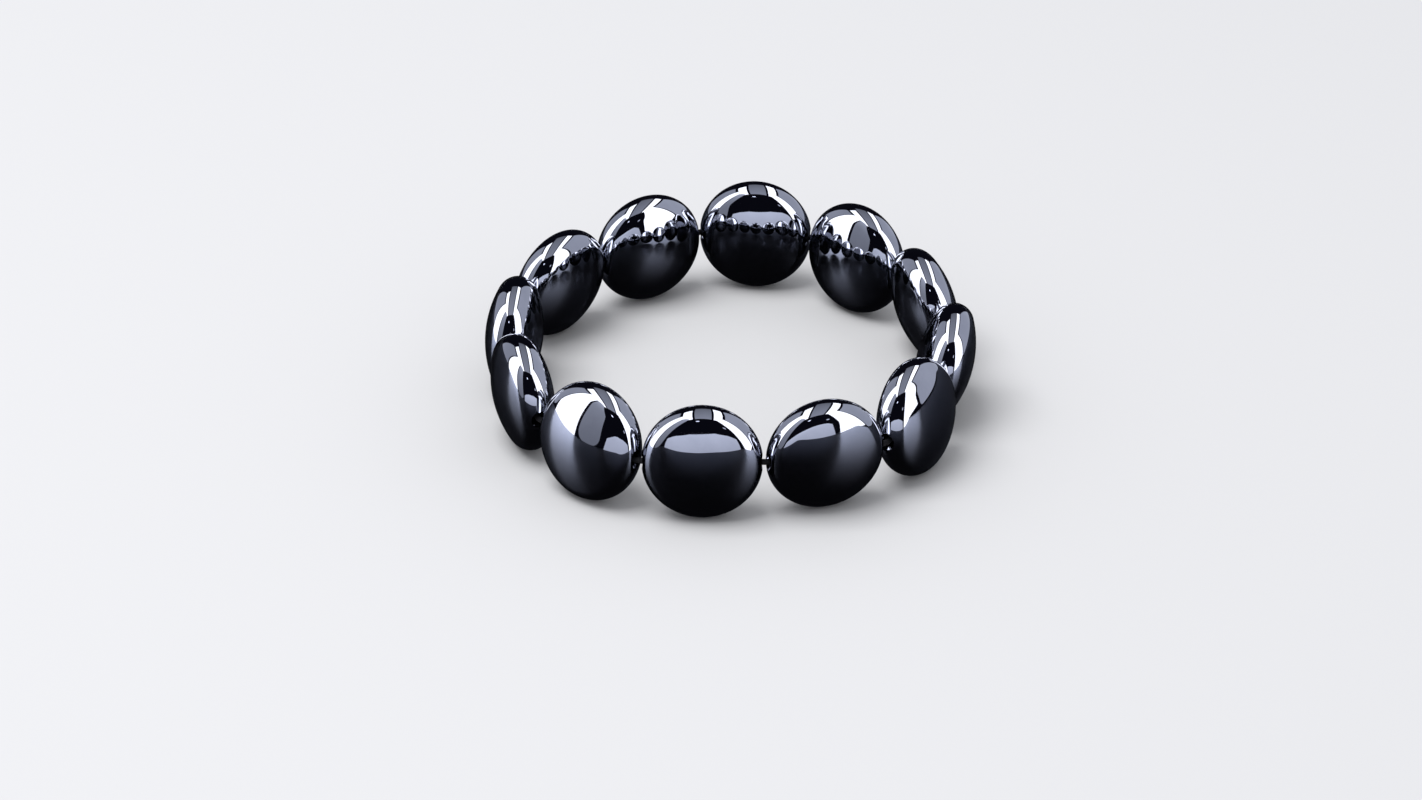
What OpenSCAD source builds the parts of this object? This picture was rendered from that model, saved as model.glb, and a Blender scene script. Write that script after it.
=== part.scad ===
// Stretch bracelet: polished coin beads, drilled across their width, on a closed elastic cord.
// It lies on a level surface with each bead standing on its rim. Millimetres, +Z up.
// The origin is on the surface, at the middle of the ring.

/* [Beads] */
// Width of a bead across its round face
bead_d = 16; // [14:0.5:18]
// Thickness of a bead at the middle of its two domed faces
bead_t = 7.8; // [6.6:0.1:9]
// Radius of the rounded rim
rim_r = 2.7; // [2:0.1:3]
// Width of the hole drilled across the bead
bore_d = 1.6; // [1.5:0.1:2]
// Width of the eased edge at each mouth of the hole
mouth_d = 2.4; // [2.2:0.1:2.6]
// Depth of the eased edge below the rim
mouth_depth = 0.5; // [0.3:0.1:0.7]

/* [Ring] */
// Room between neighbouring beads when they stand in a plain ring
bead_gap = 0.2; // [0.2:0.1:0.8]
// Bearing of the first bead seen from above, in degrees
first_bearing = -96.5; // [-180:0.5:180]

/* [Cord] */
// Width of the elastic cord
cord_d = 0.8; // [0.6:0.1:0.8]

/* [Hidden] */
// How each bead lies off the plain ring, from the front bead round to the right
//   slide  degrees along the ring
//   out    millimetres away from the middle
//   turn   degrees about the upright
//   lean   degrees about the cord, the top of the bead inwards
LIE = [
    //slide  out  turn  lean
    [  0.1,  0.4,  6.0,   3],
    [  0.4,  0.6, -6.5,  -4],
    [ -0.6,  0.7,  6.0,   7],
    [ -0.4, -1.0,  2.5, -12],
    [  0.9, -0.8, -5.0,  10],
    [  1.4,  0.5, -5.5,  -4],
    [  0.3,  2.2,  0.5,  -3],
    [ -1.0,  0.2,  7.5,   2],
    [ -0.3, -0.6, -4.0,   9],
    [  0.5, -0.8, -1.0,   2],
    [  1.2,  0.0, -6.0,  -3],
    [  0.9,  0.7, -3.5,  12],
];
SLIDE = 0;
OUT = 1;
TURN = 2;
LEAN = 3;

bead_count = len(LIE);

round_fn = 96;            // segments of a preview circle
over = 0.5;               // how far a cut runs past the rim
bead_r = bead_d / 2;
rim_centre = bead_r - rim_r;      // from the middle of the bead to the middle of its rim's roundness
half_t = bead_t / 2;

// The domed face is one arc that runs tangent into the rim
face_r = (rim_centre * rim_centre + half_t * half_t - rim_r * rim_r) / (2 * (half_t - rim_r));
face_edge = rim_centre * face_r / (face_r - rim_r);

// Plain ring: neighbouring rims clear each other by bead_gap
half_step = 180 / bead_count;
half_side = rim_centre + (rim_r + bead_gap / 2) / cos(half_step);
ring_r = half_side / tan(half_step);

function bearing(i) = first_bearing + 360 / bead_count * i + LIE[i][SLIDE];
function yaw(i) = bearing(i) + 90 + LIE[i][TURN];
function along(i) = [cos(yaw(i)), sin(yaw(i)), 0];
function outward(i) = [sin(yaw(i)), -cos(yaw(i)), 0];
// A leaning bead stands on its rim
function height(i) = rim_centre * cos(LIE[i][LEAN]) + rim_r;
function ring_place(i) = let (r = ring_r + LIE[i][OUT])
    [r * cos(bearing(i)), r * sin(bearing(i)), height(i)];

// How far a bead reaches from its middle along a level direction d
function reach(i, d) = let (
        c = abs(outward(i) * d) * cos(LIE[i][LEAN]),
        c_edge = sqrt(1 - pow(face_edge / face_r, 2)))
    c > c_edge ? face_r - (face_r - half_t) * c : rim_centre * sqrt(1 - c * c) + rim_r;

// The middle of the ring's box is brought over the origin
function ends(d) = [
    min([for (i = [0 : bead_count - 1]) ring_place(i) * d - reach(i, d)]),
    max([for (i = [0 : bead_count - 1]) ring_place(i) * d + reach(i, d)])];
function middle(d) = let (e = ends(d)) (e[0] + e[1]) / 2;
box_middle = [middle([1, 0, 0]), middle([0, 1, 0]), 0];
function place(i) = ring_place(i) - box_middle;

module bead_profile() {
    intersection() {
        translate([0, half_t - face_r]) circle(r = face_r, $fn = round_fn);
        translate([0, face_r - half_t]) circle(r = face_r, $fn = round_fn);
        translate([0, -half_t]) square([face_edge, bead_t]);
    }
    translate([rim_centre, 0]) circle(r = rim_r, $fn = round_fn);
}

module mouth() {
    flare = (mouth_d - bore_d) / 2 / mouth_depth;
    translate([0, 0, bead_r - mouth_depth])
        cylinder(h = mouth_depth + over, r1 = bore_d / 2,
            r2 = bore_d / 2 + flare * (mouth_depth + over), $fn = round_fn);
}

module bead_solid() {
    difference() {
        rotate([90, 0, 0]) rotate_extrude($fn = round_fn) bead_profile();
        rotate([0, 90, 0]) cylinder(h = bead_d + 2 * over, d = bore_d, center = true, $fn = round_fn);
        rotate([0, 90, 0]) mouth();
        rotate([0, -90, 0]) mouth();
    }
}

module bead(i) {
    color("dimgray")
        translate(place(i))
            rotate([0, 0, yaw(i)])
                rotate([-LIE[i][LEAN], 0, 0])
                    bead_solid();
}

// The cord runs straight through each bead and bends between the mouths
cord_sides = 8;
bend_steps = 5;
bend_depth = 0.7;                 // how far below the rim the bend to the next bead begins
bend_pull = 0.7;                  // how far each end of a bend keeps the line of its hole
straight_end = bead_r - bend_depth;

function next(i) = (i + 1) % bead_count;
function cord_out(i) = place(i) + straight_end * along(i);
function cord_in(i) = place(i) - straight_end * along(i);
function bend(i, t) = let (
        a = cord_out(i),
        b = a + bend_pull * along(i),
        d = cord_in(next(i)),
        c = d - bend_pull * along(next(i)))
    pow(1 - t, 3) * a + 3 * pow(1 - t, 2) * t * b + 3 * (1 - t) * t * t * c + t * t * t * d;
ROUTE = [for (i = [0 : bead_count - 1], s = [0 : bend_steps]) bend(i, s / bend_steps)];

function unit(v) = v / norm(v);
function heading(k) = let (n = len(ROUTE)) unit(ROUTE[(k + 1) % n] - ROUTE[(k + n - 1) % n]);
function ring_of(k) = let (
        side = unit(cross(heading(k), [0, 0, 1])),
        up = cross(side, heading(k)))
    [for (j = [0 : cord_sides - 1]) let (q = 360 * j / cord_sides)
        ROUTE[k] + cord_d / 2 * (cos(q) * side + sin(q) * up)];

module elastic_cord() {
    rings = len(ROUTE);
    points = [for (k = [0 : rings - 1]) each ring_of(k)];
    faces = [for (k = [0 : rings - 1], j = [0 : cord_sides - 1]) let (
            k2 = (k + 1) % rings,
            j2 = (j + 1) % cord_sides)
        each [[k * cord_sides + j, k2 * cord_sides + j, k2 * cord_sides + j2],
              [k * cord_sides + j, k2 * cord_sides + j2, k * cord_sides + j2]]];
    color("black") polyhedron(points = points, faces = faces);
}

for (i = [0 : bead_count - 1]) bead(i);
elastic_cord();
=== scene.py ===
import math

import bmesh
import bpy
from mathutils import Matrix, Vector


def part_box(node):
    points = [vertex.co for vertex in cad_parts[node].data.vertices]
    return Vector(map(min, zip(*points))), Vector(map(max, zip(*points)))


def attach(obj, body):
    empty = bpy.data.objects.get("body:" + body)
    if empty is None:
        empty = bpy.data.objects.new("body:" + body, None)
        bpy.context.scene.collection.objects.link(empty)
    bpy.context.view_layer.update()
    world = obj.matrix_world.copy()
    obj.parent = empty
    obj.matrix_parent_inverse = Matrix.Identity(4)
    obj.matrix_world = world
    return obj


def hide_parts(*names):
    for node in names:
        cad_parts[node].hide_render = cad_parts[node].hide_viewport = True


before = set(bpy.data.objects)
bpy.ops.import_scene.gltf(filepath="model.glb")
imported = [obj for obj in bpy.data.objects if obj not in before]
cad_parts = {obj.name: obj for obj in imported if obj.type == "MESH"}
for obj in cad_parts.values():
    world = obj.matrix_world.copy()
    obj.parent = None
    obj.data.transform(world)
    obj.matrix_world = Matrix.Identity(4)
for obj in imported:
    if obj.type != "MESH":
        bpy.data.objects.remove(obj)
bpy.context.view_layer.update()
print("frame loaded, nodes:", len(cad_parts))

mm = 0.001

# how the ring of beads lies, counted from the front bead round to the right:
# slide along the ring, turn about the upright, lean with the top inwards, in degrees
ring = {
    "firstBearing": -96.5,
    "lie": [
        {"slide": 0.1, "turn": 6.0, "lean": 3},
        {"slide": 0.4, "turn": -6.5, "lean": -4},
        {"slide": -0.6, "turn": 6.0, "lean": 7},
        {"slide": -0.4, "turn": 2.5, "lean": -12},
        {"slide": 0.9, "turn": -5.0, "lean": 10},
        {"slide": 1.4, "turn": -5.5, "lean": -4},
        {"slide": 0.3, "turn": 0.5, "lean": -3},
        {"slide": -1.0, "turn": 7.5, "lean": 2},
        {"slide": -0.3, "turn": -4.0, "lean": 9},
        {"slide": 0.5, "turn": -1.0, "lean": 2},
        {"slide": 1.2, "turn": -6.0, "lean": -3},
        {"slide": 0.9, "turn": -3.5, "lean": 12},
    ],
}
beadCount = len(ring["lie"])


def deselectAll():
    if bpy.context.object and bpy.context.object.mode != "OBJECT":
        bpy.ops.object.mode_set(mode="OBJECT")
    bpy.ops.object.select_all(action="DESELECT")


def pickOnly(piece):
    deselectAll()
    piece.select_set(True)
    bpy.context.view_layer.objects.active = piece


def pickVerts(piece, wanted):  # in edit mode, picks the vertices whose place passes the test
    mesh = bmesh.from_edit_mesh(piece.data)
    for face in mesh.faces:
        face.select_set(False)
    for edge in mesh.edges:
        edge.select_set(False)
    for vert in mesh.verts:
        vert.select_set(wanted(vert.co))
    mesh.select_flush(True)
    bmesh.update_edit_mesh(piece.data)


def freeze(piece):  # the place goes into the mesh
    pickOnly(piece)
    bpy.ops.object.transform_apply(location=True, rotation=True, scale=True)


def nodeName(index):
    return "bead_%02d" % (index + 1)


def middleOf(node):
    low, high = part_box(node)
    return (low + high) / 2


def yawOf(index):
    lie = ring["lie"][index]
    bearing = ring["firstBearing"] + 360 / beadCount * index + lie["slide"]
    return math.radians(bearing + 90 + lie["turn"])


def leanOf(index):
    return math.radians(ring["lie"][index]["lean"])


# camera

view = {
    "place": (0.0020, -0.5413, 0.3139),
    "down": 30.2,     # degrees below the level
    "left": 0.48,     # degrees left of +Y
    "lens": 114.7,
    "sensor": 36,
}


def makeCamera():
    bpy.ops.object.camera_add(location=view["place"])
    camera = bpy.context.object
    camera.name = "camera"
    camera.rotation_euler = (math.radians(90 - view["down"]), 0, math.radians(view["left"]))
    camera.data.lens = view["lens"]
    camera.data.sensor_width = view["sensor"]
    bpy.context.scene.camera = camera


makeCamera()
print("camera in place")


# materials

def newMaterial(name):
    material = bpy.data.materials.new(name)
    material.use_nodes = True
    tree = material.node_tree
    return material, tree, tree.nodes["Principled BSDF"]


def emptyMaterial(name):
    material = bpy.data.materials.new(name)
    material.use_nodes = True
    material.node_tree.nodes.clear()
    return material, material.node_tree


def addNode(tree, kind, **values):
    node = tree.nodes.new(kind)
    for key, value in values.items():
        node.inputs[key].default_value = value
    return node


def addNoise(tree, where, settings):
    noise = addNode(tree, "ShaderNodeTexNoise", **settings)
    tree.links.new(where.outputs["Object"], noise.inputs["Vector"])
    return noise.outputs["Fac"]


def addRange(tree, value, source, target):  # source and target are pairs of ends
    spread = addNode(tree, "ShaderNodeMapRange")
    for name, end in zip(("From Min", "From Max", "To Min", "To Max"), (*source, *target)):
        spread.inputs[name].default_value = end
    tree.links.new(value, spread.inputs["Value"])
    return spread.outputs["Result"]


def addMath(tree, operation, value, number):
    result = addNode(tree, "ShaderNodeMath")
    result.operation = operation
    tree.links.new(value, result.inputs[0])
    result.inputs[1].default_value = number
    return result.outputs["Value"]


def addTint(tree, shader, pattern, colours, ends):
    tint = addNode(tree, "ShaderNodeValToRGB")
    for stop, place, colour in zip(tint.color_ramp.elements, ends, colours):
        stop.position = place
        stop.color = colour
    tree.links.new(pattern, tint.inputs["Fac"])
    tree.links.new(tint.outputs["Color"], shader.inputs["Base Color"])


def addBump(tree, shader, pattern, strength, depth):
    bump = addNode(tree, "ShaderNodeBump", Strength=strength, Distance=depth)
    tree.links.new(pattern, bump.inputs["Height"])
    tree.links.new(bump.outputs["Normal"], shader.inputs["Normal"])


def mixShaders(tree, share, first, second):
    both = addNode(tree, "ShaderNodeMixShader")
    for socket, source in zip(both.inputs, (share, first, second)):
        tree.links.new(source, socket)
    return both.outputs["Shader"]


# beads

bead = {
    "width": 16 * mm,
    "thickness": 7.8 * mm,
    "rimRadius": 2.7 * mm,
    "holeWidth": 1.6 * mm,
    "mouthWidth": 2.4 * mm,
    "mouthDepth": 0.5 * mm,
    "faceSteps": 24,
    "rimSteps": 40,
    "roundSteps": 128,
    "holeSides": 40,
    "mergeWithin": 0.001 * mm,
    "smoothBelow": 25,         # degrees between faces that shade as one surface
}

stone = {
    "colours": [(0.250, 0.260, 0.300, 1), (0.320, 0.330, 0.375, 1)],
    "clouds": {"Scale": 130, "Detail": 5, "Roughness": 0.55},
    "cloudEnds": (0.3, 0.7),   # where the pattern is all dark and all light
    "wear": {"Scale": 420, "Detail": 6, "Roughness": 0.6},
    "wearEnds": (0.45, 0.85),
    "polish": (0.02, 0.055),   # roughness where the polish is fine and where it is worn
    "ripple": {"Scale": 110, "Detail": 1},
    "rippleStrength": 0.9,     # the slight waviness that polishing by hand leaves
    "rippleDepth": 0.2 * mm,
}


def polishedStone():
    material, tree, shader = newMaterial("polishedStone")
    where = addNode(tree, "ShaderNodeTexCoord")
    addTint(tree, shader, addNoise(tree, where, stone["clouds"]), stone["colours"], stone["cloudEnds"])
    wear = addNoise(tree, where, stone["wear"])
    tree.links.new(addRange(tree, wear, stone["wearEnds"], stone["polish"]), shader.inputs["Roughness"])
    ripple = addNoise(tree, where, stone["ripple"])
    addBump(tree, shader, ripple, stone["rippleStrength"], stone["rippleDepth"])
    shader.inputs["Metallic"].default_value = 1
    return material


def makeBead():
    half = bead["thickness"] / 2
    rimMiddle = bead["width"] / 2 - bead["rimRadius"]
    faceRadius = (rimMiddle ** 2 + half ** 2 - bead["rimRadius"] ** 2) / (2 * (half - bead["rimRadius"]))
    faceAngle = math.atan2(rimMiddle, faceRadius - half)
    deselectAll()
    bpy.ops.mesh.primitive_plane_add(size=1 * mm)
    piece = bpy.context.object
    bpy.ops.object.mode_set(mode="EDIT")
    bpy.ops.mesh.merge(type="CENTER")
    bpy.ops.transform.translate(value=(0, half, 0))
    # one point spun along the face, round the rim and along the other face draws half the section
    arcs = [
        (bead["faceSteps"], faceAngle, (0, half - faceRadius, 0)),
        (bead["rimSteps"], math.pi - 2 * faceAngle, (rimMiddle, 0, 0)),
        (bead["faceSteps"], faceAngle, (0, faceRadius - half, 0)),
    ]
    for steps, angle, middle in arcs:
        bpy.ops.mesh.spin(steps=steps, angle=angle, center=middle, axis=(0, 0, 1))
    bpy.ops.mesh.select_all(action="SELECT")
    bpy.ops.mesh.spin(steps=bead["roundSteps"], angle=2 * math.pi, center=(0, 0, 0), axis=(0, 1, 0))
    bpy.ops.mesh.select_all(action="SELECT")
    bpy.ops.mesh.remove_doubles(threshold=bead["mergeWithin"])
    bpy.ops.mesh.normals_make_consistent(inside=False)
    bpy.ops.object.mode_set(mode="OBJECT")
    return piece


def makeDrill():
    over = 1 * mm                          # how far the drill runs past the rim
    radius = bead["holeWidth"] / 2
    shoulder = bead["width"] / 2 - bead["mouthDepth"]
    flare = (bead["mouthWidth"] / 2 - radius) / bead["mouthDepth"]
    wide = radius + flare * (bead["mouthDepth"] + over)
    deselectAll()
    bpy.ops.mesh.primitive_cylinder_add(
        vertices=bead["holeSides"], radius=radius, depth=bead["width"] + 2 * over,
        rotation=(0, math.pi / 2, 0))
    drill = bpy.context.object
    freeze(drill)
    bpy.ops.object.mode_set(mode="EDIT")
    for side in (-1, 1):
        bpy.ops.mesh.select_all(action="SELECT")
        bpy.ops.mesh.bisect(plane_co=(side * shoulder, 0, 0), plane_no=(1, 0, 0))
    pickVerts(drill, lambda co: abs(co.x) > shoulder + over / 2)
    bpy.ops.transform.resize(value=(1, wide / radius, wide / radius))
    bpy.ops.object.mode_set(mode="OBJECT")
    return drill


def drillBead(piece):
    drill = makeDrill()
    pickOnly(piece)
    bpy.ops.object.modifier_add(type="BOOLEAN")
    cut = piece.modifiers[-1]
    cut.operation = "DIFFERENCE"
    cut.solver = "EXACT"
    cut.object = drill
    bpy.ops.object.modifier_apply(modifier=cut.name)
    pickOnly(drill)
    bpy.ops.object.delete()
    pickOnly(piece)
    bpy.ops.object.shade_smooth_by_angle(angle=math.radians(bead["smoothBelow"]))


def stringBeads():
    pattern = makeBead()
    drillBead(pattern)
    pattern.data.materials.append(polishedStone())
    for index in range(beadCount):
        node = nodeName(index)
        pickOnly(pattern)
        bpy.ops.object.duplicate(linked=False)
        piece = bpy.context.object
        piece.name = "polished_" + node
        piece.location = middleOf(node)
        piece.rotation_euler = (-leanOf(index), 0, yawOf(index))
        freeze(piece)
        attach(piece, "root")
        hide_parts(node)
    pickOnly(pattern)
    bpy.ops.object.delete()


stringBeads()
print("beads strung")


# cord

cord = {
    "width": 0.8 * mm,
    "bendDepth": 0.7 * mm,     # below the rim, where the bend to the next bead begins
    "bendPull": 0.7 * mm,      # how far each end of a bend keeps the line of its hole
    "holePull": 0.6,           # the same towards the bead's middle, as a share of the way
    "stepsPerBend": 10,
    "bevelSteps": 6,           # makes 16 sides
}

elastic = {
    "colours": [(0.004, 0.004, 0.005, 1), (0.014, 0.014, 0.016, 1)],
    "fibres": {"Scale": 6000, "Detail": 3},
    "fibreEnds": (0, 1),
    "fibreStrength": 0.6,
    "fibreDepth": 0.03 * mm,
    "rough": 0.85,
    "sheen": 0.05,
}


def braidedElastic():
    material, tree, shader = newMaterial("braidedElastic")
    where = addNode(tree, "ShaderNodeTexCoord")
    fibres = addNoise(tree, where, elastic["fibres"])
    addTint(tree, shader, fibres, elastic["colours"], elastic["fibreEnds"])
    addBump(tree, shader, fibres, elastic["fibreStrength"], elastic["fibreDepth"])
    shader.inputs["Roughness"].default_value = elastic["rough"]
    shader.inputs["Specular IOR Level"].default_value = elastic["sheen"]
    return material


def threadBeads(points):  # two points a bead, with a straight line between them
    straight = bead["width"] / 2 - cord["bendDepth"]
    for index in range(beadCount):
        middle = middleOf(nodeName(index))
        along = Vector((math.cos(yawOf(index)), math.sin(yawOf(index)), 0))
        for side, point in ((-1, points[2 * index]), (1, points[2 * index + 1])):
            point.handle_left_type = point.handle_right_type = "FREE"
            place = middle + side * straight * along
            outer = place + side * cord["bendPull"] * along
            inner = place - side * straight * cord["holePull"] * along
            point.co = place
            point.handle_left = outer if side < 0 else inner
            point.handle_right = inner if side < 0 else outer


def makeCord():
    deselectAll()
    bpy.ops.curve.primitive_bezier_circle_add(radius=bead["width"])
    piece = bpy.context.object
    cuts = 2 * beadCount // len(piece.data.splines[0].bezier_points) - 1
    bpy.ops.object.mode_set(mode="EDIT")
    bpy.ops.curve.select_all(action="SELECT")
    bpy.ops.curve.subdivide(number_cuts=cuts)
    bpy.ops.object.mode_set(mode="OBJECT")
    threadBeads(piece.data.splines[0].bezier_points)
    piece.data.resolution_u = cord["stepsPerBend"]
    piece.data.bevel_depth = cord["width"] / 2
    piece.data.bevel_resolution = cord["bevelSteps"]
    pickOnly(piece)
    bpy.ops.object.convert(target="MESH")
    piece = bpy.context.object
    piece.name = "elastic_string"
    bpy.ops.object.shade_smooth()
    piece.data.materials.append(braidedElastic())
    freeze(piece)
    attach(piece, "root")
    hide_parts("elastic_cord")


makeCord()
print("cord threaded")


# floor and light

floor = {
    "size": 8.0,
    "colour": (0.62, 0.62, 0.63, 1),
    "drop": 0.02 * mm,
}


def makeSheet(name, size, drop):
    deselectAll()
    bpy.ops.mesh.primitive_plane_add(size=size, location=(0, 0, -drop))
    piece = bpy.context.object
    piece.name = name
    freeze(piece)
    return piece


def makeFloor():
    piece = makeSheet("floor", floor["size"], floor["drop"])
    material, tree, shader = newMaterial("paleFloor")
    shader.inputs["Base Color"].default_value = floor["colour"]
    shader.inputs["Roughness"].default_value = 1
    shader.inputs["Specular IOR Level"].default_value = 0
    piece.data.materials.append(material)
    piece.visible_glossy = False


def showOnlyInMirrors(piece):
    piece.visible_camera = False
    piece.visible_diffuse = False
    piece.visible_shadow = False


# what the polished beads mirror below the level: a dark sheet with a soft sheen, seen only in the beads
# and never by the camera, a painted dark reflection in place of the pale floor
sheet = {
    "size": 3.0,
    "drop": 0.3 * mm,
    "colour": (0.011, 0.011, 0.013, 1),
    "sheen": (0.80, 0.85, 1.0, 1),
    "sheenShare": 0.085,       # at a grazing look
    "sheenPower": 2.5,         # how fast it falls off from there
    "rough": 0.30,
}


def makeDarkSheet():
    piece = makeSheet("dark_sheet", sheet["size"], sheet["drop"])
    material, tree = emptyMaterial("darkSheet")
    matte = addNode(tree, "ShaderNodeBsdfDiffuse", Color=sheet["colour"])
    sheen = addNode(tree, "ShaderNodeBsdfGlossy", Color=sheet["sheen"], Roughness=sheet["rough"])
    edge = addNode(tree, "ShaderNodeLayerWeight")
    power = addMath(tree, "POWER", edge.outputs["Facing"], sheet["sheenPower"])
    share = addMath(tree, "MULTIPLY", power, sheet["sheenShare"])
    both = mixShaders(tree, share, matte.outputs["BSDF"], sheen.outputs["BSDF"])
    end = addNode(tree, "ShaderNodeOutputMaterial")
    tree.links.new(both, end.inputs["Surface"])
    piece.data.materials.append(material)
    showOnlyInMirrors(piece)


# the tent of soft panels that the polished beads mirror
# middle and size in metres, turn in degrees: first the tilt about X, then the turn about Z
# glow is that of the upper edge, or of the back edge of a panel overhead, and fade is how many
# times as bright the opposite edge is
# round is the radius of the corners, and each trim cuts off what lies beyond a point on the
# panel, along a direction on it
white = (1.0, 1.0, 1.0, 1)
grey = (0.82, 0.86, 1.0, 1)
cornerSteps = 8
cardTrims = [((0.12, 0.0935), (0.20, 0.98)), ((0.26, 0.065), (0.33, 0.94)), ((0.375, 0.03), (0.96, 0.27))]
panels = {
    "leftBox": {
        "middle": (-0.60, -0.022, 0.56), "size": (0.366, 1.12), "turn": (90, 90),
        "glow": 30, "fade": 1, "colour": white, "round": 0, "trims": [],
    },
    "leftCard": {
        "middle": (-0.493, -0.342, 0.56), "size": (0.27, 1.12), "turn": (90, -55.7),
        "glow": 1.3, "fade": 0.42, "colour": grey, "round": 0.085, "trims": [],
    },
    "leftBack": {
        "middle": (-0.60, 0.475, 0.46), "size": (0.57, 0.88), "turn": (90, 90),
        "glow": 0.85, "fade": 1, "colour": grey, "round": 0.05, "trims": [],
    },
    "rightBox": {
        "middle": (0.519, -0.300, 0.56), "size": (0.43, 1.12), "turn": (90, 60),
        "glow": 20, "fade": 1, "colour": white, "round": 0, "trims": [((0.04, -0.56), (0.30, -0.95))],
    },
    "rightBack": {
        "middle": (0.61, 0.525, 0.475), "size": (1.20, 0.92), "turn": (90, 90),
        "glow": 1.05, "fade": 1, "colour": grey, "round": 0.03, "trims": [],
    },
    "leftStrip": {
        "middle": (-0.47, 0.15, 1.12), "size": (0.30, 1.30), "turn": (0, 0),
        "glow": 10, "fade": 1, "colour": white, "round": 0, "trims": [],
    },
    "rightStrip": {
        "middle": (0.47, 0.375, 1.12), "size": (0.30, 1.75), "turn": (0, 0),
        "glow": 10, "fade": 1, "colour": white, "round": 0, "trims": [],
    },
    "roof": {
        "middle": (0, 0.375, 1.13), "size": (0.50, 1.75), "turn": (0, 0),
        "glow": 0.42, "fade": 2, "colour": grey, "round": 0, "trims": [],
    },
    "frontCard": {
        "middle": (-0.02, -0.55, 0.0935), "size": (0.82, 0.187), "turn": (90, 0),
        "glow": 1.85, "fade": 0.75, "colour": grey, "round": 0,
        "trims": cardTrims + [((-x, y), (-across, up)) for (x, y), (across, up) in cardTrims],
    },
    "leftGlint": {
        "middle": (-0.08, -0.37, 0.47), "size": (0.045, 0.035), "turn": (40, -12),
        "glow": 7, "fade": 1, "colour": grey, "round": 0.01, "trims": [],
    },
    "rightGlint": {
        "middle": (0.25, -0.45, 0.31), "size": (0.04, 0.05), "turn": (60, 29),
        "glow": 1.8, "fade": 1, "colour": grey, "round": 0.015, "trims": [],
    },
}


def cutPanel(name, panel):
    deselectAll()
    bpy.ops.mesh.primitive_plane_add(size=1)
    piece = bpy.context.object
    piece.name = name
    piece.scale = (*panel["size"], 1)
    freeze(piece)
    bpy.ops.object.mode_set(mode="EDIT")
    if panel["round"]:
        bpy.ops.mesh.select_all(action="SELECT")
        bpy.ops.mesh.bevel(
            offset=panel["round"], offset_type="OFFSET", segments=cornerSteps, affect="VERTICES")
    for point, direction in panel["trims"]:
        bpy.ops.mesh.select_all(action="SELECT")
        bpy.ops.mesh.bisect(plane_co=(*point, 0), plane_no=(*direction, 0), clear_outer=True)
    bpy.ops.object.mode_set(mode="OBJECT")
    piece.location = panel["middle"]
    piece.rotation_euler = (math.radians(panel["turn"][0]), 0, math.radians(panel["turn"][1]))
    freeze(piece)
    return piece


def panelGlow(name, panel):
    material, tree = emptyMaterial(name)
    where = addNode(tree, "ShaderNodeTexCoord")
    level = addNode(tree, "ShaderNodeSeparateXYZ")
    tree.links.new(where.outputs["UV"], level.inputs["Vector"])
    strength = addRange(tree, level.outputs["Y"], (0, 1), (panel["glow"] * panel["fade"], panel["glow"]))
    light = addNode(tree, "ShaderNodeEmission", Color=panel["colour"])
    tree.links.new(strength, light.inputs["Strength"])
    end = addNode(tree, "ShaderNodeOutputMaterial")
    tree.links.new(light.outputs["Emission"], end.inputs["Surface"])
    material.cycles.emission_sampling = "NONE"
    return material


def makePanel(name, panel):
    piece = cutPanel(name, panel)
    piece.data.materials.append(panelGlow(name, panel))
    showOnlyInMirrors(piece)


# the room: pale for the eye and the floor, dark in the beads
room = {
    "pale": (0.80, 0.81, 0.84, 1),
    "paleStrength": 0.9,
    "dark": (0.008, 0.008, 0.014, 1),
    "softBoxSize": 0.7,
    "softBoxPower": 9,
    "softBoxPlace": (-0.35, -0.1, 1.0),
}


def makeRoom():
    world = bpy.data.worlds.new("room")
    world.use_nodes = True
    tree = world.node_tree
    pale = tree.nodes["Background"]
    pale.inputs["Color"].default_value = room["pale"]
    pale.inputs["Strength"].default_value = room["paleStrength"]
    dark = addNode(tree, "ShaderNodeBackground", Color=room["dark"], Strength=1)
    rays = addNode(tree, "ShaderNodeLightPath")
    both = mixShaders(
        tree, rays.outputs["Is Glossy Ray"], pale.outputs["Background"], dark.outputs["Background"])
    tree.links.new(both, tree.nodes["World Output"].inputs["Surface"])
    bpy.context.scene.world = world


def makeSoftBox():
    deselectAll()
    bpy.ops.object.light_add(type="AREA", location=room["softBoxPlace"])
    lamp = bpy.context.object
    lamp.name = "soft_box"
    lamp.data.size = room["softBoxSize"]
    lamp.data.energy = room["softBoxPower"]
    lamp.rotation_euler = (-Vector(room["softBoxPlace"])).to_track_quat("-Z", "Y").to_euler()
    lamp.visible_glossy = False


picture = {
    "look": "Standard",
    "brightest": 1.3,          # light in one sample, so that bright mirror images keep smooth edges
}


def setPicture():
    scene = bpy.context.scene
    scene.view_settings.view_transform = picture["look"]
    scene.cycles.sample_clamp_direct = picture["brightest"]
    scene.cycles.sample_clamp_indirect = picture["brightest"]
    scene.cycles.caustics_reflective = False
    scene.cycles.caustics_refractive = False


makeFloor()
makeDarkSheet()
for panelName, panel in panels.items():
    makePanel(panelName, panel)
makeRoom()
makeSoftBox()
setPicture()
print("floor and light in place")
